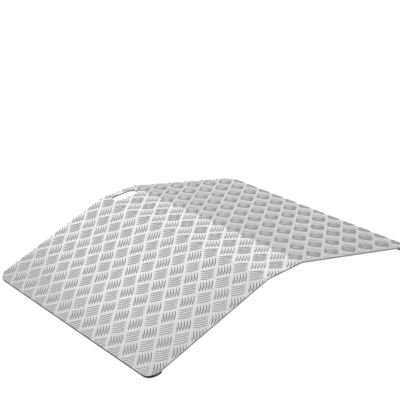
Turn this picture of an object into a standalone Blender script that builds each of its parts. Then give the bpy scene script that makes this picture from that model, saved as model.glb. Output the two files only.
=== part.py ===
"""Bridging threshold ramp for wheelchairs.

One sheet of aluminium tread plate, cut flat with rounded corners and a hand slot, then bent twice into a
near slope, a level crest and a far slope. A rubber grip strip is stuck under each end with double-sided tape.

X runs across the ramp, Y along the way of travel and Z up. The origin is on the floor, under the middle of
the crest. Lengths are in metres.
"""

import math

import bmesh
import bpy
from mathutils import Matrix, Vector

# Deck sheet. Lengths along the sheet are those of the flat blank, bend line to bend line.
DECK_WIDTH = 0.700
SLOPE_LENGTH = 0.350
CREST_LENGTH = 0.100
SLOPE_ANGLE = math.radians(16.0)
SHEET_THICKNESS = 0.0035
TREAD_BAR_HEIGHT = 0.0015
BEND_RADIUS = 0.012
CORNER_RADIUS = 0.030

# Tread pattern. Groups of five bars stand in square cells that are turned by 45 degrees to the edges, and the
# bars turn by a quarter from each cell to the next. Each group is one low block here. The first group's
# middle is measured from the left side edge and from the front edge.
TREAD_CELL = 0.04026
FIRST_GROUP_ACROSS = 0.0098
FIRST_GROUP_ALONG = 0.0327
BARS_PER_GROUP = 5
TREAD_BAR_LENGTH = 0.0335
TREAD_BAR_WIDTH = 0.0064
TREAD_BAR_SPACING = 0.0071
GROUP_END_SLOPE = 0.003
GROUP_SIDE_SLOPE = 0.0015
TREAD_EDGE_MARGIN = 0.0004
TREAD_SUNK = 0.0005

# Hand slot, which lies along the side edge of the crest.
SLOT_LENGTH = 0.076
SLOT_WIDTH = 0.036
SLOT_EDGE_WIDTH = 0.019

# Grip strips and the tapes that hold them.
STRIP_DEPTH = 0.032
STRIP_THICKNESS = 0.0025
FLOOR_CONTACT_WIDTH = 0.003
TAPE_THICKNESS = 0.0005
TAPE_INSET = 0.001

# Small gap that is kept between pieces which lie on each other.
SEAT_GAP = 0.0003

# Fineness of the round stretches.
CORNER_STEPS = 8
SLOT_END_STEPS = 16
BEND_STEPS = 4
WELD_DISTANCE = 0.00001
SHARP_ANGLE = math.radians(14)

HALF_SHEET_LENGTH = CREST_LENGTH / 2 + SLOPE_LENGTH
NEUTRAL_HEIGHT = SHEET_THICKNESS / 2
DECK_THICKNESS = SHEET_THICKNESS + TREAD_BAR_HEIGHT
TAPE_TOP = -SEAT_GAP
STRIP_TOP = TAPE_TOP - TAPE_THICKNESS - SEAT_GAP
STRIP_BOTTOM = STRIP_TOP - STRIP_THICKNESS


def arc(centre_x, centre_y, radius, start, end, steps):
    """Points of an arc from one angle to another, both ends included."""
    points = []
    for step in range(steps + 1):
        angle = start + (end - start) * step / steps
        points.append((centre_x + radius * math.cos(angle), centre_y + radius * math.sin(angle)))
    return points


def blank_outline(inset):
    """Outline of the flat sheet, a rectangle with four rounded corners, drawn in by an inset."""
    across = DECK_WIDTH / 2 - CORNER_RADIUS
    along = HALF_SHEET_LENGTH - CORNER_RADIUS
    quarter = math.pi / 2
    outline = []
    for turn, (side_x, side_y) in enumerate(((1, 1), (-1, 1), (-1, -1), (1, -1))):
        outline += arc(side_x * across, side_y * along, CORNER_RADIUS - inset,
                       turn * quarter, (turn + 1) * quarter, CORNER_STEPS)
    return outline


def slot_outline(margin):
    """Outline of the hand slot, two straight sides with a half circle at each end, widened by a margin."""
    centre_x = -DECK_WIDTH / 2 + SLOT_EDGE_WIDTH + SLOT_WIDTH / 2
    radius = SLOT_WIDTH / 2 + margin
    reach = (SLOT_LENGTH - SLOT_WIDTH) / 2
    far_end = arc(centre_x, reach, radius, 0, math.pi, SLOT_END_STEPS)
    near_end = arc(centre_x, -reach, radius, math.pi, 2 * math.pi, SLOT_END_STEPS)
    return far_end + near_end


def strip_outline(inset):
    """Outline of a strip under the sheet's end at Y = 0: its outer corners follow the sheet's own.

    A strip that is less deep than the corners are round ends where its inner edge meets their arcs.
    """
    radius = CORNER_RADIUS - inset
    across = DECK_WIDTH / 2 - CORNER_RADIUS
    inner_edge = STRIP_DEPTH - inset
    skipped = math.asin(max(CORNER_RADIUS - inner_edge, 0) / radius)
    outline = arc(-across, CORNER_RADIUS, radius, math.pi + skipped, 1.5 * math.pi, CORNER_STEPS)
    outline += arc(across, CORNER_RADIUS, radius, 1.5 * math.pi, 2 * math.pi - skipped, CORNER_STEPS)
    if inner_edge > CORNER_RADIUS:
        outline += [(across + radius, inner_edge), (-across - radius, inner_edge)]
    return outline


def flat_plate(name, outlines, bottom, top):
    """Mesh of a flat plate between two heights. The first outline is its edge and the others are holes."""
    curve = bpy.data.curves.new(name + "_outline", "CURVE")
    curve.dimensions = "2D"
    curve.fill_mode = "BOTH"
    curve.extrude = (top - bottom) / 2
    for outline in outlines:
        spline = curve.splines.new("POLY")
        spline.points.add(len(outline) - 1)
        for point, (x, y) in zip(spline.points, outline):
            point.co = (x, y, 0, 1)
        spline.use_cyclic_u = True
    guide = bpy.data.objects.new(name + "_outline", curve)
    bpy.context.scene.collection.objects.link(guide)
    evaluated = guide.evaluated_get(bpy.context.evaluated_depsgraph_get())
    mesh = bpy.data.meshes.new_from_object(evaluated)
    bpy.data.objects.remove(guide)
    bpy.data.curves.remove(curve)
    mesh.name = name
    plate = bmesh.new()
    plate.from_mesh(mesh)
    bmesh.ops.remove_doubles(plate, verts=plate.verts, dist=WELD_DISTANCE)
    bmesh.ops.translate(plate, verts=plate.verts, vec=(0, 0, (top + bottom) / 2))
    bmesh.ops.recalc_face_normals(plate, faces=plate.faces)
    plate.to_mesh(mesh)
    plate.free()
    return mesh


def combine(mesh, other, operation):
    """Mesh of a Boolean of two meshes, which are both used up."""
    pieces = []
    for part in (mesh, other):
        piece = bpy.data.objects.new(part.name, part)
        bpy.context.scene.collection.objects.link(piece)
        pieces.append(piece)
    boolean = pieces[0].modifiers.new(operation, "BOOLEAN")
    boolean.operation = operation
    boolean.object = pieces[1]
    evaluated = pieces[0].evaluated_get(bpy.context.evaluated_depsgraph_get())
    combined = bpy.data.meshes.new_from_object(evaluated)
    for piece, part in zip(pieces, (mesh, other)):
        bpy.data.objects.remove(piece)
        bpy.data.meshes.remove(part)
    return combined


def group_places():
    """Middle and turn of each group of tread bars on the blank, out to those that its edges cut.

    The cells with bars in one direction make a square grid. Those with bars in the other make the same
    grid, half a step on both ways.
    """
    step = TREAD_CELL * math.sqrt(2)
    columns = range(-1, math.ceil(DECK_WIDTH / step) + 1)
    rows = range(-1, math.ceil(2 * HALF_SHEET_LENGTH / step) + 1)
    places = []
    for shift, turn in ((0, -math.pi / 4), (0.5, math.pi / 4)):
        for column in columns:
            for row in rows:
                x = FIRST_GROUP_ACROSS - DECK_WIDTH / 2 + (column + shift) * step
                y = FIRST_GROUP_ALONG - HALF_SHEET_LENGTH + (row + shift) * step
                places.append((x, y, turn))
    return places


def tread_blocks():
    """Mesh of the low blocks that stand for the groups of tread bars, with sloping ends and sides."""
    half_length = TREAD_BAR_LENGTH / 2
    half_width = ((BARS_PER_GROUP - 1) * TREAD_BAR_SPACING + TREAD_BAR_WIDTH) / 2
    blocks = bmesh.new()
    for x, y, turn in group_places():
        place = Matrix.Translation((x, y, SHEET_THICKNESS)) @ Matrix.Rotation(turn, 4, "Z")
        for vertex in bmesh.ops.create_cube(blocks, size=2)["verts"]:
            height = TREAD_BAR_HEIGHT if vertex.co.z > 0 else -TREAD_SUNK
            drawn_in = height / TREAD_BAR_HEIGHT
            along = vertex.co.x * (half_length - GROUP_END_SLOPE * drawn_in)
            across = vertex.co.y * (half_width - GROUP_SIDE_SLOPE * drawn_in)
            vertex.co = place @ Vector((along, across, height))
    mesh = bpy.data.meshes.new("tread_blocks")
    blocks.to_mesh(mesh)
    blocks.free()
    return mesh


def treaded_plate(name):
    """Mesh of the flat sheet with its tread pattern, which ends just inside the sheet's edges and slot."""
    outlines = [blank_outline(TREAD_EDGE_MARGIN), slot_outline(TREAD_EDGE_MARGIN)]
    tread_area = flat_plate("tread_area", outlines, 0, 2 * DECK_THICKNESS)
    blocks = combine(tread_blocks(), tread_area, "INTERSECT")
    sheet = flat_plate("plain_sheet", [blank_outline(0), slot_outline(0)], 0, SHEET_THICKNESS)
    plate = combine(sheet, blocks, "UNION")
    plate.name = name
    return plate


def bend_half_length():
    """Half of a bend's length along the sheet's neutral line."""
    return (BEND_RADIUS + NEUTRAL_HEIGHT) * SLOPE_ANGLE / 2


def fold(point):
    """Place on the folded sheet of a point of the flat blank, the underside of the crest being Z = 0.

    Past a bend line the neutral line turns down through an arc, and runs straight on from its end. The
    point keeps its height over the neutral line, square to the sheet.
    """
    side = math.copysign(1, point.y)
    past_bend_start = abs(point.y) - (CREST_LENGTH / 2 - bend_half_length())
    neutral_radius = BEND_RADIUS + NEUTRAL_HEIGHT
    turned = min(max(past_bend_start / neutral_radius, 0), SLOPE_ANGLE)
    straight = min(past_bend_start, 0) + max(past_bend_start - 2 * bend_half_length(), 0)
    along = CREST_LENGTH / 2 - bend_half_length()
    along += neutral_radius * math.sin(turned) + straight * math.cos(turned)
    drop = neutral_radius * (1 - math.cos(turned)) + straight * math.sin(turned)
    height = point.z - NEUTRAL_HEIGHT
    return Vector((point.x,
                   side * (along + height * math.sin(turned)),
                   NEUTRAL_HEIGHT - drop + height * math.cos(turned)))


def crest_underside_height():
    """Height of the crest's underside over the floor, which cuts a narrow flat along each strip."""
    lowest = fold(Vector((0, HALF_SHEET_LENGTH, STRIP_BOTTOM))).z
    cut = FLOOR_CONTACT_WIDTH * math.sin(SLOPE_ANGLE) * math.cos(SLOPE_ANGLE)
    return -(lowest + cut)


def fold_mesh(mesh):
    """Cut the flat blank across at each step of the bends, then fold it."""
    sheet = bmesh.new()
    sheet.from_mesh(mesh)
    for side in (-1, 1):
        for step in range(BEND_STEPS + 1):
            place = CREST_LENGTH / 2 + bend_half_length() * (2 * step / BEND_STEPS - 1)
            everything = sheet.verts[:] + sheet.edges[:] + sheet.faces[:]
            bmesh.ops.bisect_plane(sheet, geom=everything, dist=WELD_DISTANCE,
                                   plane_co=(0, side * place, 0), plane_no=(0, 1, 0))
    for vertex in sheet.verts:
        vertex.co = fold(vertex.co)
    sheet.to_mesh(mesh)
    sheet.free()


def cut_at_floor(mesh, to_world):
    """Cut off what a piece would have below the floor, and close the cut."""
    from_world = to_world.inverted()
    downwards = (from_world.to_3x3() @ Vector((0, 0, -1))).normalized()
    piece = bmesh.new()
    piece.from_mesh(mesh)
    everything = piece.verts[:] + piece.edges[:] + piece.faces[:]
    cut = bmesh.ops.bisect_plane(piece, geom=everything, dist=WELD_DISTANCE, clear_outer=True,
                                 plane_co=from_world @ Vector((0, 0, 0)), plane_no=downwards)
    cut_edges = [part for part in cut["geom_cut"] if isinstance(part, bmesh.types.BMEdge)]
    bmesh.ops.holes_fill(piece, edges=cut_edges, sides=0)
    bmesh.ops.recalc_face_normals(piece, faces=piece.faces)
    piece.to_mesh(mesh)
    piece.free()


def end_placement(end):
    """Placement of a piece drawn flat at the sheet's end: -1 is the front end and 1 the rear."""
    edge = fold(Vector((0, -HALF_SHEET_LENGTH, 0)))
    lift = Matrix.Translation((0, edge.y, edge.z + crest_underside_height()))
    tilt = Matrix.Rotation(SLOPE_ANGLE, 4, "X")
    turn = Matrix.Rotation(0 if end < 0 else math.pi, 4, "Z")
    return turn @ lift @ tilt


def new_material(name, colour, roughness, metallic):
    material = bpy.data.materials.new(name)
    material.use_nodes = True
    shader = material.node_tree.nodes["Principled BSDF"]
    shader.inputs["Base Color"].default_value = (*colour, 1)
    shader.inputs["Roughness"].default_value = roughness
    shader.inputs["Metallic"].default_value = metallic
    return material


def add_part(name, mesh, material, placement, collection):
    """Put a named piece in the ramp's collection, shaded smooth over its shallow edges."""
    mesh.materials.append(material)
    mesh.shade_smooth()
    mesh.set_sharp_from_angle(angle=SHARP_ANGLE)
    part = bpy.data.objects.new(name, mesh)
    part.matrix_world = placement
    collection.objects.link(part)
    return part


def add_deck(collection):
    aluminium = new_material("bare_aluminium", (0.80, 0.80, 0.81), 0.38, 1.0)
    mesh = treaded_plate("deck_plate")
    fold_mesh(mesh)
    add_part("deck_plate", mesh, aluminium, Matrix.Translation((0, 0, crest_underside_height())), collection)


def add_grip_strips(collection):
    rubber = new_material("black_rubber", (0.03, 0.03, 0.03), 0.75, 0.0)
    for name, end in (("front_grip_strip", -1), ("rear_grip_strip", 1)):
        mesh = flat_plate(name, [strip_outline(0)], STRIP_BOTTOM, STRIP_TOP)
        cut_at_floor(mesh, end_placement(end))
        add_part(name, mesh, rubber, end_placement(end), collection)


def add_bonding_tapes(collection):
    tape = new_material("tape_foam", (0.12, 0.12, 0.12), 0.6, 0.0)
    for name, end in (("front_bonding_tape", -1), ("rear_bonding_tape", 1)):
        mesh = flat_plate(name, [strip_outline(TAPE_INSET)], TAPE_TOP - TAPE_THICKNESS, TAPE_TOP)
        add_part(name, mesh, tape, end_placement(end), collection)


def main():
    for leftover in list(bpy.data.objects):
        bpy.data.objects.remove(leftover)
    ramp = bpy.data.collections.new("bridging_threshold_ramp")
    bpy.context.scene.collection.children.link(ramp)
    add_deck(ramp)
    add_grip_strips(ramp)
    add_bonding_tapes(ramp)


main()
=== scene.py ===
"""Looks of the bridging threshold ramp: its tread plate, grip strips and tapes, and a studio around it.

X runs across the ramp, Y along the way of travel and Z up. The origin is on the floor, under the middle of
the crest. Lengths are in metres. The flat blank of the sheet is drawn in X and V, V being the place along
the sheet from the middle of the crest, and is then folded.
"""

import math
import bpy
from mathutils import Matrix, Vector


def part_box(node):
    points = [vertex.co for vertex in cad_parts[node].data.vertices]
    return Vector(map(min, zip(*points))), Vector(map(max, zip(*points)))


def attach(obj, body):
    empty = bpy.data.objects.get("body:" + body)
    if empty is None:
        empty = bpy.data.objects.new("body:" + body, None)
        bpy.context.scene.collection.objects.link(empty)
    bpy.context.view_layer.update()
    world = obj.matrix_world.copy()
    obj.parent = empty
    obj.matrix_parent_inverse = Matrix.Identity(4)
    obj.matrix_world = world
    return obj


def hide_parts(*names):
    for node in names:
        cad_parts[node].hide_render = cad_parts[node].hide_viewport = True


bl_info = {
    "name": "Threshold Ramp Finish",
    "version": (1, 0, 0),
    "blender": (4, 5, 0),
    "location": "3D View > Sidebar > Ramp",
    "description": "Tread plate, grip strips, tapes and studio of a bridging threshold ramp",
    "category": "Object",
}

import bpy
import numpy as np
from bpy.props import FloatProperty, FloatVectorProperty, PointerProperty
from bpy.types import Operator, Panel, PropertyGroup
from mathutils import Vector

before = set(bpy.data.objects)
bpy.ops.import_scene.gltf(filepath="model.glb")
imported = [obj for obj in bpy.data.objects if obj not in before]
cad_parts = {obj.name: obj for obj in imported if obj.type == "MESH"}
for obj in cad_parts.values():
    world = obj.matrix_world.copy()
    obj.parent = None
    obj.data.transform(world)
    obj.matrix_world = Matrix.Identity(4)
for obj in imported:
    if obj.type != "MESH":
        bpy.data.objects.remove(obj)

DECK_LOW, DECK_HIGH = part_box("deck_plate")
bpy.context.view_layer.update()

# Lines across the sheet in each quarter circle of its outline and in each of its bends.
ARC_ROWS = 13
BEND_ROWS = 7

# Where the slot is narrower than this, it is closed.
CLOSED_SLOT = 1e-6

# Grid of a tread bar: stations along it from tip to tip, and lines along it from foot to foot.
BAR_STATIONS = np.sin(np.linspace(-np.pi / 2, np.pi / 2, 8))
BAR_LINES = np.arange(-3, 4)

# A bar narrows by this power of the place along it, down to this share of its half width at the tips.
BAR_TAPER = 2.5
BAR_TIP_SHARE = 0.12

# The top of a bar is never narrower than this share of its width.
BAR_TOP_SHARE = 0.1

# Height of a bar at its ridge, the edges of its top, the middles of its flanks and its feet, as shares.
BAR_SECTION = (1, 0.95, 0.5, 0)

# Where a bar is narrower than its two flanks, its height falls with this power of its width.
BAR_LOWERING = 0.5

# Depth of a bar's base under the face of the sheet.
BAR_BASE = 0.0002

# Places along each line of a bar that are tried against the sheet's edges. A bar is made only if each of
# its lines has a run on the sheet that is longer than the smallest one.
BAR_TRIALS = 161
SMALLEST_RUN = BAR_TRIALS // 12

# Edges that turn by more than these angles are shaded sharp on the sheet, broken on it and shaded sharp on
# the bars.
SHARP_SHEET_EDGE = math.radians(30)
BROKEN_SHEET_EDGE = math.radians(40)
SHARP_BAR_EDGE = math.radians(60)

# Range that most values of the noise texture keep to.
NOISE_RANGE = (0.3, 0.7)

# Cosines of the angles from the middle of the dark side at which it starts and at which it is fully dark.
DARK_SIDE_START = 0.86
DARK_SIDE_CORE = 0.97

# From the middle of the ramp to each light.
LIGHT_DISTANCE = 4.0


def length_property(name, description, default):
    """Length in metres."""
    return FloatProperty(name=name, description=description, unit="LENGTH", default=default)


def angle_property(name, description, degrees):
    """Angle, with its default in degrees."""
    return FloatProperty(name=name, description=description, subtype="ANGLE", default=math.radians(degrees))


def spans_property(name, description, *degrees):
    """Angles that a light takes up across and upwards, with their defaults in degrees."""
    default = [math.radians(span) for span in degrees]
    return FloatVectorProperty(name=name, description=description, size=2, unit="ROTATION", default=default)


def level_property(name, description, default):
    """Brightness, on which 1 is the white of the render."""
    return FloatProperty(name=name, description=description, min=0, default=default)


def colour_property(name, description, *colour):
    """Colour as red, green and blue."""
    return FloatVectorProperty(
        name=name, description=description, subtype="COLOR", min=0, max=1, default=colour)


class RampSizes(PropertyGroup):
    """Sizes of the tread plate."""

    width: length_property("Width", "Width of the sheet", DECK_HIGH.x - DECK_LOW.x)
    slope_length: length_property("Slope length", "From a bend line to the end of the sheet", 0.350)
    crest_length: length_property("Crest length", "From bend line to bend line", 0.100)
    slope_angle: angle_property("Slope angle", "Tilt of each slope", 16)
    thickness: length_property("Thickness", "Thickness of the sheet without its bars", 0.0035)
    bend_radius: length_property("Bend radius", "Inner radius of each bend", 0.012)
    corner_radius: length_property("Corner radius", "Radius of the sheet's corners", 0.030)
    slot_length: length_property("Slot length", "Length of the hand slot", 0.076)
    slot_width: length_property("Slot width", "Width of the hand slot", 0.036)
    slot_edge_width: length_property(
        "Slot edge width", "Width of the sheet between the slot and the side edge", 0.019)
    edge_break: length_property("Edge break", "Width of the broken sharp edges", 0.0004)
    bar_height: length_property("Bar height", "Height of a tread bar over the sheet", 0.0015)
    bar_length: length_property("Bar length", "Length of a tread bar", 0.0335)
    bar_width: length_property("Bar width", "Width of a tread bar at its middle", 0.0066)
    bar_flank: length_property("Bar flank", "Width of the sloping side of a tread bar", 0.0018)
    bar_spacing: length_property("Bar spacing", "From a bar to the next one of its group", 0.0071)
    group_spacing: length_property(
        "Group spacing", "From a group of bars to the next one, across or along the sheet", 0.05693)
    first_group_x: length_property(
        "First group, across", "From the side edge to the middle of the first group", 0.0098)
    first_group_v: length_property(
        "First group, along", "From the front edge to the middle of the first group", 0.0327)


class RampFinishes(PropertyGroup):
    """Colours and finishes of the ramp's materials."""

    aluminium: colour_property("Aluminium", "Colour of the rolled sheet", 0.80, 0.80, 0.81)
    streak: colour_property("Streak", "Colour of the darker rolling streaks", 0.74, 0.74, 0.755)
    rubbed: colour_property("Rubbed", "Colour where feet and wheels rub it bright", 0.86, 0.86, 0.87)
    # Painted shade: this colour darkens the feet of the bars, where shade falls between them, and the torn
    # metal of the sheared edges.
    painted_shade: colour_property("Painted shade", "Colour at the feet of the bars and on torn metal", 0.30, 0.295, 0.29)
    # Painted shade: the sheared edges are coloured far darker than their own dull metal, to stand for the
    # shadow on the cut walls.
    shaded_cut_edge: colour_property("Cut edge", "Colour of the sheared edges", 0.20, 0.20, 0.202)
    # Painted shade: a nearly black colour on the edges close to the floor, where shade falls.
    floor_shade: colour_property("Floor shade", "Colour of the dirt on edges near the floor", 0.03, 0.029, 0.028)
    aluminium_roughness: FloatProperty(
        name="Aluminium roughness", min=0, max=1, default=0.18,
        description="Roughness of the rolled sheet, without its streaks and smudges")
    rubber: colour_property("Rubber", "Colour of the grip strips", 0.022, 0.022, 0.023)
    rubber_bloom: colour_property("Rubber bloom", "Colour of the bloom on the rubber", 0.045, 0.045, 0.044)
    rubber_scuff: colour_property("Rubber scuff", "Colour of the scuffs near the floor", 0.11, 0.108, 0.104)
    tape: colour_property("Tape", "Colour of the foam tapes", 0.10, 0.10, 0.10)
    tape_cell: colour_property("Tape cell", "Colour of the cut cells of the foam", 0.17, 0.17, 0.165)


class StudioSettings(PropertyGroup):
    """Floor, lights and camera. Bearings are turned from the X axis towards Y, as seen from above. Heights
    are angles over the floor."""

    floor_size: length_property("Floor size", "Side of the square floor", 40)
    floor: colour_property("Floor", "Colour of the floor in the studio's light", 0.25, 0.25, 0.25)
    floor_white: level_property(
        "Floor white", "Share of white that the floor shows of itself, without lighting anything", 0.87)
    world_level: level_property("World level", "Strength of the light from all round", 0.63)
    dark_side_level: level_property("Dark side level", "Strength of the light from the dark side", 0.22)
    dark_side_bearing: angle_property("Dark side bearing", "Where the dark side of the room is", 97)
    dark_side_height: angle_property("Dark side height", "Height of the middle of the dark side", 37)
    left_level: level_property("Left light", "Brightness of the soft light on the left", 0.39)
    left_bearing: angle_property("Left light bearing", "Where the soft light on the left stands", 158)
    left_height: angle_property("Left light height", "Height of the soft light on the left", 31)
    left_spans: spans_property("Left light spans", "Size of the soft light on the left", 36, 30)
    fill_level: level_property("Fill light", "Brightness of the wide, weak light on the left", 0.12)
    fill_bearing: angle_property("Fill light bearing", "Where the wide, weak light stands", 154)
    fill_height: angle_property("Fill light height", "Height of the wide, weak light", 24)
    fill_spans: spans_property("Fill light spans", "Size of the wide, weak light", 56, 48)
    right_level: level_property("Right light", "Brightness of the soft light on the right", 0.55)
    right_bearing: angle_property("Right light bearing", "Where the soft light on the right stands", 2)
    right_height: angle_property("Right light height", "Height of the soft light on the right", 31)
    right_spans: spans_property("Right light spans", "Size of the soft light on the right", 70, 44)
    camera_place: FloatVectorProperty(
        name="Camera place", description="Where the camera stands", subtype="TRANSLATION", unit="LENGTH",
        default=(2.00886, -1.29672, 1.22271))
    camera_turn: FloatVectorProperty(
        name="Camera turn", description="Turns of the camera about X, Y and Z", subtype="EULER",
        default=(math.radians(66.063), math.radians(7.448), math.radians(53.215)))
    camera_lens: FloatProperty(
        name="Camera lens", description="Focal length in millimetres", default=95.93)


def slot_middle_x(sizes):
    """Place across the sheet of the hand slot's middle line."""
    return -sizes.width / 2 + sizes.slot_edge_width + sizes.slot_width / 2


def half_sheet_length(sizes):
    """From the middle of the crest to an end of the blank."""
    return sizes.crest_length / 2 + sizes.slope_length


def folded(points, sizes):
    """Places on the folded sheet of points (X, V, height over the underside) of the flat blank.

    Past a bend line the neutral line, halfway up the sheet, turns down through an arc and runs straight on
    from its end. A point keeps its height over the neutral line, square to the sheet.
    """
    neutral = sizes.thickness / 2
    radius = sizes.bend_radius + neutral
    half_bend = radius * sizes.slope_angle / 2
    underside = DECK_HIGH.z - sizes.thickness - sizes.bar_height
    x, v, height = points.T
    past = np.abs(v) - (sizes.crest_length / 2 - half_bend)
    turned = np.clip(past / radius, 0, sizes.slope_angle)
    straight = np.minimum(past, 0) + np.maximum(past - 2 * half_bend, 0)
    along = sizes.crest_length / 2 - half_bend + radius * np.sin(turned) + straight * np.cos(turned)
    drop = radius * (1 - np.cos(turned)) + straight * np.sin(turned)
    over = height - neutral
    y = np.sign(v) * (along + over * np.sin(turned))
    z = underside + neutral - drop + over * np.cos(turned)
    return np.stack([x, y, z], axis=1)


def half_width_at(v, sizes):
    """Half width of the blank at V: less towards an end, where the corners are quarter circles."""
    into_corner = np.maximum(np.abs(v) - (half_sheet_length(sizes) - sizes.corner_radius), 0)
    chord = np.sqrt(np.maximum(sizes.corner_radius ** 2 - into_corner ** 2, 0))
    return sizes.width / 2 - sizes.corner_radius + chord


def half_slot_at(v, sizes):
    """Half width of the hand slot at V: less towards an end, which is a half circle, and 0 past it."""
    radius = sizes.slot_width / 2
    into_end = np.maximum(np.abs(v) - (sizes.slot_length / 2 - radius), 0)
    return np.sqrt(np.maximum(radius ** 2 - into_end ** 2, 0))


def sheet_rows(sizes):
    """Places V of the lines that cut the blank across, close together in its arcs and bends."""
    quarter = np.linspace(0, np.pi / 2, ARC_ROWS)
    slot_radius = sizes.slot_width / 2
    corner_rows = half_sheet_length(sizes) - sizes.corner_radius * (1 - np.sin(quarter))
    slot_rows = sizes.slot_length / 2 - slot_radius * (1 - np.sin(quarter))
    half_bend = (sizes.bend_radius + sizes.thickness / 2) * sizes.slope_angle / 2
    bend_rows = sizes.crest_length / 2 + half_bend * np.linspace(-1, 1, BEND_ROWS)
    rows = np.concatenate([slot_rows, bend_rows, corner_rows])
    return np.sort(np.concatenate([-rows, rows]))


def new_piece(name, vertices, faces, materials, values=None):
    """Mesh object of points and of faces, each a row of point numbers, shaded smooth. Values are numbers
    that the mesh keeps for each point, under a name."""
    mesh = bpy.data.meshes.new(name)
    mesh.from_pydata(vertices.tolist(), [], faces)
    for value_name, numbers in (values or {}).items():
        held = mesh.attributes.new(value_name, "FLOAT", "POINT")
        held.data.foreach_set("value", numbers.astype(np.float32).ravel())
    for material in materials:
        mesh.materials.append(material)
    mesh.shade_smooth()
    piece = bpy.data.objects.new(name, mesh)
    bpy.context.scene.collection.objects.link(piece)
    return piece


def deck_sheet_shape(sizes):
    """Closed shell of the sheet, as points, rolled faces, sheared faces and how far up through the sheet
    each point is. Each line across has its two side edges and the slot's two edges, at the top and at the
    underside. Where there is no slot its two edges are one point."""
    rows = sheet_rows(sizes)
    side = half_width_at(rows, sizes)
    slot = half_slot_at(rows, sizes)
    middle = np.full_like(rows, slot_middle_x(sizes))
    across = np.stack([-side, middle - slot, middle + slot, side], axis=1)
    x = np.repeat(across[:, :, None], 2, axis=2)
    v = np.broadcast_to(rows[:, None, None], x.shape)
    height = np.broadcast_to(np.array([0, sizes.thickness]), x.shape)
    points = np.stack([x.ravel(), v.ravel(), height.ravel()], axis=1)
    number = np.arange(len(points)).reshape(x.shape)
    closed = slot < CLOSED_SLOT
    number[closed, 2] = number[closed, 1]

    def strip(first, second):
        """Faces between two of the lines that run along the sheet."""
        return np.stack([first[:-1], second[:-1], second[1:], first[1:]], axis=1)

    bottom, top = number[..., 0], number[..., 1]
    rolled = np.concatenate([strip(top[:, 0], top[:, 1]), strip(top[:, 2], top[:, 3]),
                             strip(bottom[:, 1], bottom[:, 0]), strip(bottom[:, 3], bottom[:, 2])])
    beside_slot = ~(closed[:-1] & closed[1:])
    sheared = [strip(bottom[:, 0], top[:, 0]), strip(top[:, 3], bottom[:, 3]),
               strip(top[:, 1], bottom[:, 1])[beside_slot], strip(bottom[:, 2], top[:, 2])[beside_slot]]
    for row, order in ((0, 1), (-1, -1)):
        for left, right in ((0, 1), (2, 3)):
            end = [bottom[row, left], bottom[row, right], top[row, right], top[row, left]]
            sheared.append(np.array([end[::order]]))
    used, faces = np.unique(np.concatenate([rolled, *sheared]), return_inverse=True)
    faces = faces.reshape(-1, 4)
    points = points[used]
    through = points[:, 2] / sizes.thickness
    return folded(points, sizes), faces[:len(rolled)], faces[len(rolled):], through


def tread_bar_axes(sizes):
    """Middles and directions on the blank of all tread bars, out to those that its edges cut.

    Groups of five stand on two square grids, one half a step on from the other both ways. The bars of the
    first grid run down to the right and those of the second run up to the right.
    """
    half_length = half_sheet_length(sizes)
    step = sizes.group_spacing
    steps_across = np.arange(-1, math.ceil(sizes.width / step) + 1)
    steps_along = np.arange(-1, math.ceil(2 * half_length / step) + 1)
    middles, directions = [], []
    for shift, diagonal in ((0.0, (1, -1)), (0.5, (1, 1))):
        direction = np.array(diagonal) / math.sqrt(2)
        beside = np.array([-direction[1], direction[0]])
        group_x = -sizes.width / 2 + sizes.first_group_x + (steps_across + shift) * step
        group_v = -half_length + sizes.first_group_v + (steps_along + shift) * step
        groups = np.stack(np.meshgrid(group_x, group_v), axis=-1).reshape(-1, 2)
        offsets = np.arange(-2, 3)[:, None] * sizes.bar_spacing * beside
        bars = (groups[:, None] + offsets).reshape(-1, 2)
        middles.append(bars)
        directions.append(np.broadcast_to(direction, bars.shape))
    return np.concatenate(middles), np.concatenate(directions)


def on_sheet(places, margin, sizes):
    """Whether places (X, V) of the blank lie on it, off its edges and the hand slot by a margin."""
    x, v = places[..., 0], places[..., 1]
    reach = half_sheet_length(sizes) - margin
    inside = (np.abs(v) <= reach) & (np.abs(x) <= half_width_at(v, sizes) - margin)
    radius = sizes.slot_width / 2 + margin
    beyond = np.maximum(np.abs(v) - (sizes.slot_length - sizes.slot_width) / 2, 0)
    in_slot = np.hypot(x - slot_middle_x(sizes), beyond) < radius
    return inside & ~in_slot


def bar_half_width(s, sizes):
    """Half width of a bar, a lens that narrows from its middle, s = 0, to its tips, s = +-1. What it loses
    grows as a power of s."""
    return sizes.bar_width / 2 * np.maximum(1 - np.abs(s) ** BAR_TAPER, BAR_TIP_SHARE)


def bar_line(s, line, sizes):
    """Where a line along a bar runs, as a share of the half width. Line 0 is the ridge, +-1 are the edges
    of the top, +-2 the middles of the flanks and +-3 the feet. Each flank has the same width all along, so
    that the top narrows to a ridge towards the tips."""
    top = np.maximum(1 - sizes.bar_flank / bar_half_width(s, sizes), BAR_TOP_SHARE)
    off = np.abs(line)
    return np.sign(line) * (top * np.minimum(off, 1) + (1 - top) * np.maximum(off - 1, 0) / 2)


def bar_height_at(s, line, sizes):
    """Height of a bar over the sheet: full on the ridge, a little less at the edges of the top, and falling
    down the flanks. Where the lens is narrower than its two flanks, it is lower by a power of its width."""
    ridge = np.minimum(bar_half_width(s, sizes) / sizes.bar_flank, 1) ** BAR_LOWERING
    crossways = np.interp(np.abs(line), np.arange(len(BAR_SECTION)), BAR_SECTION)
    return sizes.bar_height * ridge * crossways


def longest_run(flags):
    """First and last place of the longest run of true flags along the last axis, and its length."""
    count = np.zeros(flags.shape, dtype=int)
    count[..., 0] = flags[..., 0]
    for place in range(1, flags.shape[-1]):
        count[..., place] = (count[..., place - 1] + 1) * flags[..., place]
    last = count.argmax(axis=-1)
    length = count.max(axis=-1)
    return last - length + 1, last, length


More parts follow.
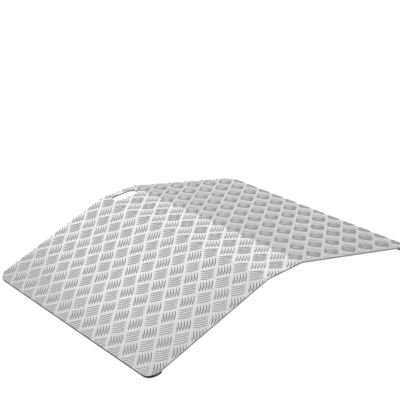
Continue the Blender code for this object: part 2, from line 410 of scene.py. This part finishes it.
def split_at_slot(middles, directions, sizes):
    """Bars as middles, directions and the lowest and highest s of the stretch of each that may be used. One
    that runs right across an end of the slot comes twice, once for each side of the slot."""
    s = np.linspace(-1, 1, BAR_TRIALS)
    line = middles[:, None] + directions[:, None] * s[:, None] * sizes.bar_length / 2
    flags = on_sheet(line, sizes.edge_break, sizes)
    changes = np.abs(np.diff(flags.astype(int), axis=1)).sum(axis=1)
    cut = (changes >= 2) & flags[:, 0] & flags[:, -1]
    gap_middle = (~flags * s).sum(axis=1) / np.maximum((~flags).sum(axis=1), 1)
    low = np.concatenate([np.full(len(middles), -1.0), gap_middle[cut]])
    high = np.concatenate([np.where(cut, gap_middle, 1.0), np.full(cut.sum(), 1.0)])
    middles = np.concatenate([middles, middles[cut]])
    directions = np.concatenate([directions, directions[cut]])
    return middles, directions, low, high


def tread_bars_shape(sizes):
    """Closed shells of all bars, as points, faces and each point's share of a bar's full height. Each bar
    is a lens on a grid of stations along it and lines from foot to foot, every line being cut to the
    stretch that lies on the sheet, with a flat base sunk into the sheet."""
    middles, directions = tread_bar_axes(sizes)
    middles, directions, low, high = split_at_slot(middles, directions, sizes)
    beside = np.stack([-directions[:, 1], directions[:, 0]], axis=1)

    def places(s, line):
        """Places on the blank of points of each bar, at a station s and on a line."""
        along = (s * sizes.bar_length / 2)[..., None]
        off = (bar_line(s, line, sizes) * bar_half_width(s, sizes))[..., None]
        each_bar = (slice(None),) + (None,) * (s.ndim - 1)
        return middles[each_bar] + directions[each_bar] * along + beside[each_bar] * off

    trials = np.linspace(-1, 1, BAR_TRIALS)
    s = np.broadcast_to(trials, (len(middles), len(BAR_LINES), BAR_TRIALS))
    line = np.broadcast_to(BAR_LINES[:, None], s.shape)
    usable = (s >= low[:, None, None]) & (s <= high[:, None, None])
    first, last, length = longest_run(on_sheet(places(s, line), sizes.edge_break, sizes) & usable)
    kept = (length > SMALLEST_RUN).all(axis=1)
    middles, directions, beside = middles[kept], directions[kept], beside[kept]
    start, end = trials[first[kept]], trials[last[kept]]
    s = start[:, None] + (end - start)[:, None] * (BAR_STATIONS[:, None] + 1) / 2
    line = np.broadcast_to(BAR_LINES, s.shape)
    height = sizes.thickness + bar_height_at(s, line, sizes)
    height[..., 0] = height[..., -1] = sizes.thickness - BAR_BASE
    points = np.concatenate([places(s, line), height[..., None]], axis=-1).reshape(-1, 3)
    number = np.arange(len(points)).reshape(s.shape)
    ahead = np.roll(number, -1, axis=2)
    quads = np.stack([number[:, :-1], number[:, 1:], ahead[:, 1:], ahead[:, :-1]], axis=-1).reshape(-1, 4)
    faces = quads.tolist() + number[:, 0].tolist() + number[:, -1, ::-1].tolist()
    share = np.clip((height - sizes.thickness) / sizes.bar_height, 0, 1)
    return folded(points, sizes), faces, share


def node(tree, kind, inputs=None, **settings):
    """New shader node. Each input is given a value, or the output of another node to be linked to."""
    made = tree.nodes.new("ShaderNode" + kind)
    for name, value in settings.items():
        setattr(made, name, value)
    for key, value in (inputs or {}).items():
        if isinstance(value, bpy.types.NodeSocket):
            tree.links.new(value, made.inputs[key])
        else:
            made.inputs[key].default_value = value
    return made


def shader_of(name):
    """New material, its node tree and its surface shader."""
    material = bpy.data.materials.new(name)
    material.use_nodes = True
    return material, material.node_tree, material.node_tree.nodes["Principled BSDF"]


def spread(tree, value, from_range, to_range):
    """Value carried over evenly from one range to another, and held at its ends."""
    inputs = {"Value": value, "From Min": from_range[0], "From Max": from_range[1],
              "To Min": to_range[0], "To Max": to_range[1]}
    return node(tree, "MapRange", inputs).outputs["Result"]


def place_on(tree, drawn_out=(1, 1, 1)):
    """The object's own place in metres. An axis with a value below 1 has its pattern drawn out."""
    place = node(tree, "TexCoord").outputs["Object"]
    return node(tree, "Mapping", {"Vector": place, "Scale": drawn_out}).outputs["Vector"]


def grain(tree, lumps, detail, drawn_out=(1, 1, 1)):
    """Noise from 0 to 1, with a number of lumps in each metre."""
    inputs = {"Vector": place_on(tree, drawn_out), "Scale": lumps, "Detail": detail}
    return spread(tree, node(tree, "TexNoise", inputs).outputs["Fac"], NOISE_RANGE, (0, 1))


def cells(tree, count):
    """Rounded cells, with a number of them in each metre: 0 at their middles and up to 1 between them."""
    inputs = {"Vector": place_on(tree), "Scale": count}
    return node(tree, "TexVoronoi", inputs, feature="SMOOTH_F1").outputs["Distance"]


def combined(tree, operation, first, second):
    """Two numbers or outputs put together by an operation of the Math node."""
    return node(tree, "Math", {0: first, 1: second}, operation=operation).outputs["Value"]


def product(tree, first, second):
    """First times second."""
    return combined(tree, "MULTIPLY", first, second)


def total(tree, base, shares):
    """Base number plus each output times its share."""
    result = base
    for output, share in shares:
        result = combined(tree, "ADD", result, product(tree, output, share))
    return result


def blended(tree, factor, first, second):
    """Colour that goes from the first to the second as the factor goes from 0 to 1. Each is a colour or the
    output of another node."""
    mix = node(tree, "Mix", {0: factor}, data_type="RGBA")
    for socket, colour in ((mix.inputs[6], first), (mix.inputs[7], second)):
        if isinstance(colour, bpy.types.NodeSocket):
            tree.links.new(colour, socket)
        else:
            socket.default_value = (*colour, 1)
    return mix.outputs[2]


def near_floor(tree, clear_height):
    """1 at the floor, falling to 0 at a height over it."""
    height = node(tree, "SeparateXYZ", {"Vector": place_on(tree)}).outputs["Z"]
    return spread(tree, height, (0, clear_height), (1, 0))


def surface_value(tree, name):
    """A number that the mesh holds at each of its points."""
    return node(tree, "Attribute", attribute_name=name).outputs["Fac"]


def set_finish(tree, shader, colour, roughness, metallic=0):
    """Give the shader its colour and roughness, both outputs of nodes, and say whether it is metal."""
    tree.links.new(colour, shader.inputs["Base Color"])
    tree.links.new(roughness, shader.inputs["Roughness"])
    shader.inputs["Metallic"].default_value = metallic


def set_bump(tree, shader, height, depth):
    """Roughen the surface by a height from 0 to 1, depth being its real height in metres."""
    inputs = {"Height": height, "Distance": depth, "Strength": 1.0}
    tree.links.new(node(tree, "Bump", inputs).outputs["Normal"], shader.inputs["Normal"])


def rolled_aluminium(finishes):
    """Mill finish of the sheet: fine rolling streaks along the way of travel, faint clouds and smudges, and
    painted shade at the feet of the bars. The mesh value "worn" is 1 on the rubbed tops of the bars; the
    mesh value for the painted shade is 1 at their feet and 0 at their tops. Both are 0 on the sheet."""
    material, tree, shader = shader_of("rolled_aluminium")
    streaks = grain(tree, lumps=1300, detail=2, drawn_out=(1, 0.015, 0.015))
    clouds = grain(tree, lumps=14, detail=3)
    smudges = grain(tree, lumps=55, detail=4)
    fine = grain(tree, lumps=2400, detail=2)
    worn = spread(tree, surface_value(tree, "worn"), (0.5, 1), (0, 1))
    rubbed = product(tree, worn, spread(tree, smudges, (0, 1), (0.6, 1)))
    # Painted shade at the feet of the bars, reaching most of the way up their flanks and mottled by the
    # smudges; it also makes them rougher.
    foot_shade = spread(tree, surface_value(tree, "foot_shade"), (0.05, 0.8), (0, 1))
    painted_shade = product(tree, foot_shade, spread(tree, smudges, (0, 1), (1, 0.7)))
    colour = blended(tree, streaks, finishes.streak, finishes.aluminium)
    colour = blended(tree, spread(tree, clouds, (0, 1), (0, 0.5)), colour, finishes.rubbed)
    colour = blended(tree, product(tree, rubbed, 0.8), colour, finishes.rubbed)
    # Painted shade: darkens the bars from their feet up.
    colour = blended(tree, product(tree, painted_shade, 0.9), colour, finishes.painted_shade)
    roughness = total(tree, finishes.aluminium_roughness,
                      ((streaks, 0.04), (smudges, 0.04), (rubbed, -0.03), (painted_shade, 0.15)))
    set_finish(tree, shader, colour, roughness, metallic=1)
    set_bump(tree, shader, total(tree, 0.0, ((streaks, 0.4), (fine, 0.6))), depth=0.000006)
    return material


def sheared_edge(finishes):
    """Edge left by the shears, coloured dark as painted shade on the cut walls: a burnished band along the
    top, torn metal below it with its own duller tear and more painted shade, fine lines right through the
    sheet and nearly black painted shade near the floor. The mesh value "through" is 0 at the underside and
    1 at the top."""
    material, tree, shader = shader_of("sheared_edge")
    lines = grain(tree, lumps=1800, detail=3, drawn_out=(1, 1, 0.05))
    pits = grain(tree, lumps=2500, detail=4)
    ragged = total(tree, surface_value(tree, "through"), ((lines, 0.15),))
    torn = spread(tree, ragged, (0.62, 0.74), (1, 0))
    # Painted shade on the edges close to the floor, with a ragged top from the pits; it also makes them
    # rougher.
    pitted_floor = total(tree, near_floor(tree, clear_height=0.02), ((pits, 0.2),))
    floor_shaded = spread(tree, pitted_floor, (0.5, 0.75), (0, 1))
    # The cut walls are coloured dark as painted shade; the fine lines lighten them a little.
    colour = blended(tree, spread(tree, lines, (0.3, 1), (0, 0.25)), finishes.shaded_cut_edge, finishes.aluminium)
    # Torn metal: its own duller tear, darkened further by painted shade.
    colour = blended(tree, product(tree, torn, pits), colour, finishes.painted_shade)
    # Painted shade near the floor.
    colour = blended(tree, floor_shaded, colour, finishes.floor_shade)
    roughness = total(tree, 0.3, ((torn, 0.2), (pits, 0.1), (floor_shaded, 0.3)))
    set_finish(tree, shader, colour, roughness, metallic=1)
    set_bump(tree, shader, total(tree, 0.0, ((lines, 0.5), (pits, 0.5))), depth=0.00003)
    return material


def rubbed_edge(finishes):
    """Broken sharp edges of the sheet, with small nicks: as dark as the sheared edges in them, with the
    same painted shade, and as bright as the rolled sheet between them."""
    material, tree, shader = shader_of("rubbed_edge")
    nicks = grain(tree, lumps=700, detail=3)
    # The nicks take the dark colour of the sheared edges, which is painted shade.
    colour = blended(tree, spread(tree, nicks, (0.3, 0.9), (0, 1)), finishes.shaded_cut_edge, finishes.streak)
    roughness = spread(tree, nicks, (0, 1), (0.5, 0.35))
    set_finish(tree, shader, colour, roughness, metallic=1)
    set_bump(tree, shader, nicks, depth=0.00002)
    return material


def black_rubber(finishes):
    """Rubber of the grip strips: a pebbled skin with faint lines along the strip, a pale bloom in clouds,
    and scuffs on the millimetres over the floor."""
    material, tree, shader = shader_of("black_rubber_finish")
    lines = grain(tree, lumps=700, detail=2, drawn_out=(0.02, 1, 1))
    bloom = grain(tree, lumps=80, detail=4)
    pebbles = cells(tree, 900)
    scuffed = product(tree, near_floor(tree, clear_height=0.004), grain(tree, lumps=350, detail=3))
    colour = blended(tree, bloom, finishes.rubber, finishes.rubber_bloom)
    colour = blended(tree, product(tree, scuffed, 0.6), colour, finishes.rubber_scuff)
    set_finish(tree, shader, colour, total(tree, 0.62, ((bloom, 0.12), (scuffed, 0.15))))
    set_bump(tree, shader, total(tree, 0.0, ((pebbles, 0.6), (lines, 0.4))), depth=0.00012)
    return material


def foam_tape(finishes):
    """Closed foam of the bonding tapes: small cells, paler where one is cut open."""
    material, tree, shader = shader_of("foam_tape_finish")
    bubbles = cells(tree, 2600)
    patches = grain(tree, lumps=150, detail=3)
    colour = blended(tree, spread(tree, bubbles, (0.1, 0.6), (0, 1)), finishes.tape_cell, finishes.tape)
    colour = blended(tree, product(tree, patches, 0.3), colour, finishes.tape_cell)
    set_finish(tree, shader, colour, spread(tree, patches, (0, 1), (0.8, 0.92)))
    set_bump(tree, shader, bubbles, depth=0.00015)
    return material


def add_floor(settings):
    """Plain floor, which takes light and shadow, and shows a share of white to the camera and in
    reflections."""
    half = settings.floor_size / 2
    corners = np.array([(-half, -half, 0), (half, -half, 0), (half, half, 0), (-half, half, 0)])
    material, tree, shader = shader_of("studio_floor")
    shader.inputs["Base Color"].default_value = (*settings.floor, 1)
    shader.inputs["Roughness"].default_value = 0.9
    shader.inputs["Specular IOR Level"].default_value = 0
    rays = node(tree, "LightPath").outputs
    seen = combined(tree, "MAXIMUM", rays["Is Camera Ray"], rays["Is Glossy Ray"])
    seen = combined(tree, "MAXIMUM", seen, rays["Is Transmission Ray"])
    white = node(tree, "Emission", {"Color": [settings.floor_white] * 3 + [1], "Strength": seen}).outputs[0]
    both = node(tree, "AddShader", {0: shader.outputs[0], 1: white}).outputs[0]
    tree.links.new(both, tree.nodes["Material Output"].inputs["Surface"])
    floor = new_piece("studio_floor", corners, [(0, 1, 2, 3)], [material])


def unit_vector(bearing, height):
    """Direction of a bearing and an angle over the floor, both in radians."""
    level = math.cos(height)
    return np.array([level * math.cos(bearing), level * math.sin(bearing), math.sin(height)])


def add_world(settings):
    """Even light from all round that falls off towards the dark side of the room, by the cosine of the
    angle to its middle."""
    world = bpy.data.worlds.new("studio")
    world.use_nodes = True
    tree = world.node_tree
    inputs = {0: node(tree, "TexCoord").outputs["Generated"],
              1: tuple(unit_vector(settings.dark_side_bearing, settings.dark_side_height))}
    nearness = node(tree, "VectorMath", inputs, operation="DOT_PRODUCT").outputs["Value"]
    level = spread(tree, nearness, (DARK_SIDE_START, DARK_SIDE_CORE),
                   (settings.world_level, settings.dark_side_level))
    tree.links.new(level, tree.nodes["Background"].inputs["Strength"])
    tree.nodes["Background"].inputs["Color"].default_value = (1, 1, 1, 1)
    bpy.context.scene.world = world


def add_soft_light(name, bearing, height, spans, level):
    """Rectangular light that faces the ramp. Its bearing and height are the angles at which it stands and
    its spans those that it takes up, as seen from the ramp. Its power is the level, which is how bright it
    looks, times pi and its area."""
    light = bpy.data.lights.new(name, "AREA")
    light.shape = "RECTANGLE"
    light.size, light.size_y = [2 * LIGHT_DISTANCE * math.tan(span / 2) for span in spans]
    light.energy = level * math.pi * light.size * light.size_y
    lamp = bpy.data.objects.new(name, light)
    place = unit_vector(bearing, height) * LIGHT_DISTANCE
    lamp.location = place
    lamp.rotation_euler = Vector(-place).to_track_quat("-Z", "Y").to_euler()
    bpy.context.scene.collection.objects.link(lamp)


def add_camera(settings):
    """Camera at the photo's angle, on a sensor 36 mm wide."""
    data = bpy.data.cameras.new("photo_camera")
    data.lens = settings.camera_lens
    data.sensor_width = 36
    camera = bpy.data.objects.new("photo_camera", data)
    camera.location = settings.camera_place
    camera.rotation_euler = settings.camera_turn
    bpy.context.scene.collection.objects.link(camera)
    bpy.context.scene.camera = camera


class RAMP_OT_deck_sheet(Operator):
    """Make the folded sheet with its hand slot."""

    bl_idname = "ramp.deck_sheet"
    bl_label = "Deck sheet"

    def execute(self, context):
        sizes = context.scene.ramp_sizes
        finishes = context.scene.ramp_finishes
        vertices, rolled, sheared, through = deck_sheet_shape(sizes)
        materials = [rolled_aluminium(finishes), sheared_edge(finishes), rubbed_edge(finishes)]
        rolled_number, sheared_number, rubbed_number = range(len(materials))
        faces = rolled.tolist() + sheared.tolist()
        piece = new_piece("deck_sheet", vertices, faces, materials, {"through": through})
        numbers = np.array([rolled_number, sheared_number], dtype=np.int32)
        piece.data.polygons.foreach_set("material_index", np.repeat(numbers, [len(rolled), len(sheared)]))
        piece.data.set_sharp_from_angle(angle=SHARP_SHEET_EDGE)
        bevel = piece.modifiers.new("edge_break", "BEVEL")
        bevel.width = sizes.edge_break
        bevel.segments = 2
        bevel.limit_method = "ANGLE"
        bevel.angle_limit = BROKEN_SHEET_EDGE
        bevel.material = rubbed_number
        bevel.harden_normals = True
        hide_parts("deck_plate")
        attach(piece, "root")
        return {"FINISHED"}


class RAMP_OT_tread_bars(Operator):
    """Make the raised bars of the tread plate, in the material of the deck sheet."""

    bl_idname = "ramp.tread_bars"
    bl_label = "Tread bars"

    def execute(self, context):
        vertices, faces, share = tread_bars_shape(context.scene.ramp_sizes)
        aluminium = bpy.data.materials["rolled_aluminium"]
        # The second mesh value paints shade: 1 at the foot of each bar and 0 on its ridge.
        piece = new_piece("tread_bars", vertices, faces, [aluminium], {"worn": share, "foot_shade": 1 - share})
        piece.data.set_sharp_from_angle(angle=SHARP_BAR_EDGE)
        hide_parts("deck_plate")
        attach(piece, "root")
        return {"FINISHED"}


class RAMP_OT_grip_strips(Operator):
    """Give the grip strips and their tapes their finishes."""

    bl_idname = "ramp.grip_strips"
    bl_label = "Grip strips"

    def execute(self, context):
        finishes = context.scene.ramp_finishes
        rubber = black_rubber(finishes)
        tape = foam_tape(finishes)
        for name, material in (("grip_strip", rubber), ("bonding_tape", tape)):
            for end in ("front", "rear"):
                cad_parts[f"{end}_{name}"].material_slots[0].material = material
        return {"FINISHED"}


class RAMP_OT_studio(Operator):
    """Make the floor, the lights and the camera."""

    bl_idname = "ramp.studio"
    bl_label = "Studio"

    def execute(self, context):
        settings = context.scene.ramp_studio
        add_floor(settings)
        add_world(settings)
        add_soft_light("left_light", settings.left_bearing, settings.left_height, settings.left_spans,
                       settings.left_level)
        add_soft_light("fill_light", settings.fill_bearing, settings.fill_height, settings.fill_spans,
                       settings.fill_level)
        add_soft_light("right_light", settings.right_bearing, settings.right_height, settings.right_spans,
                       settings.right_level)
        add_camera(settings)
        context.scene.view_settings.view_transform = "Standard"
        return {"FINISHED"}


class RAMP_PT_panel(Panel):
    """Sizes, finishes and studio of the ramp, and a button for each operator."""

    bl_idname = "RAMP_PT_panel"
    bl_label = "Threshold ramp"
    bl_space_type = "VIEW_3D"
    bl_region_type = "UI"
    bl_category = "Ramp"

    def draw(self, context):
        for group in (context.scene.ramp_sizes, context.scene.ramp_finishes, context.scene.ramp_studio):
            box = self.layout.box()
            for name in group.bl_rna.properties.keys():
                if name not in {"rna_type", "name"}:
                    box.prop(group, name)
        for operator in OPERATORS:
            self.layout.operator(operator.bl_idname)


GROUPS = {"ramp_sizes": RampSizes, "ramp_finishes": RampFinishes, "ramp_studio": StudioSettings}
OPERATORS = (RAMP_OT_deck_sheet, RAMP_OT_tread_bars, RAMP_OT_grip_strips, RAMP_OT_studio)


def register():
    """Register the properties, then the operators and the panel that use them."""
    for group in GROUPS.values():
        bpy.utils.register_class(group)
    for name, group in GROUPS.items():
        setattr(bpy.types.Scene, name, PointerProperty(type=group))
    for operator in (*OPERATORS, RAMP_PT_panel):
        bpy.utils.register_class(operator)


def unregister():
    """Take away what register added, in the opposite order."""
    for operator in reversed((*OPERATORS, RAMP_PT_panel)):
        bpy.utils.unregister_class(operator)
    for name in GROUPS:
        delattr(bpy.types.Scene, name)
    for group in GROUPS.values():
        bpy.utils.unregister_class(group)


def main():
    """Make every piece and the studio."""
    register()
    bpy.ops.ramp.deck_sheet()
    bpy.ops.ramp.tread_bars()
    bpy.ops.ramp.grip_strips()
    bpy.ops.ramp.studio()


if __name__ == "__main__":
    main()
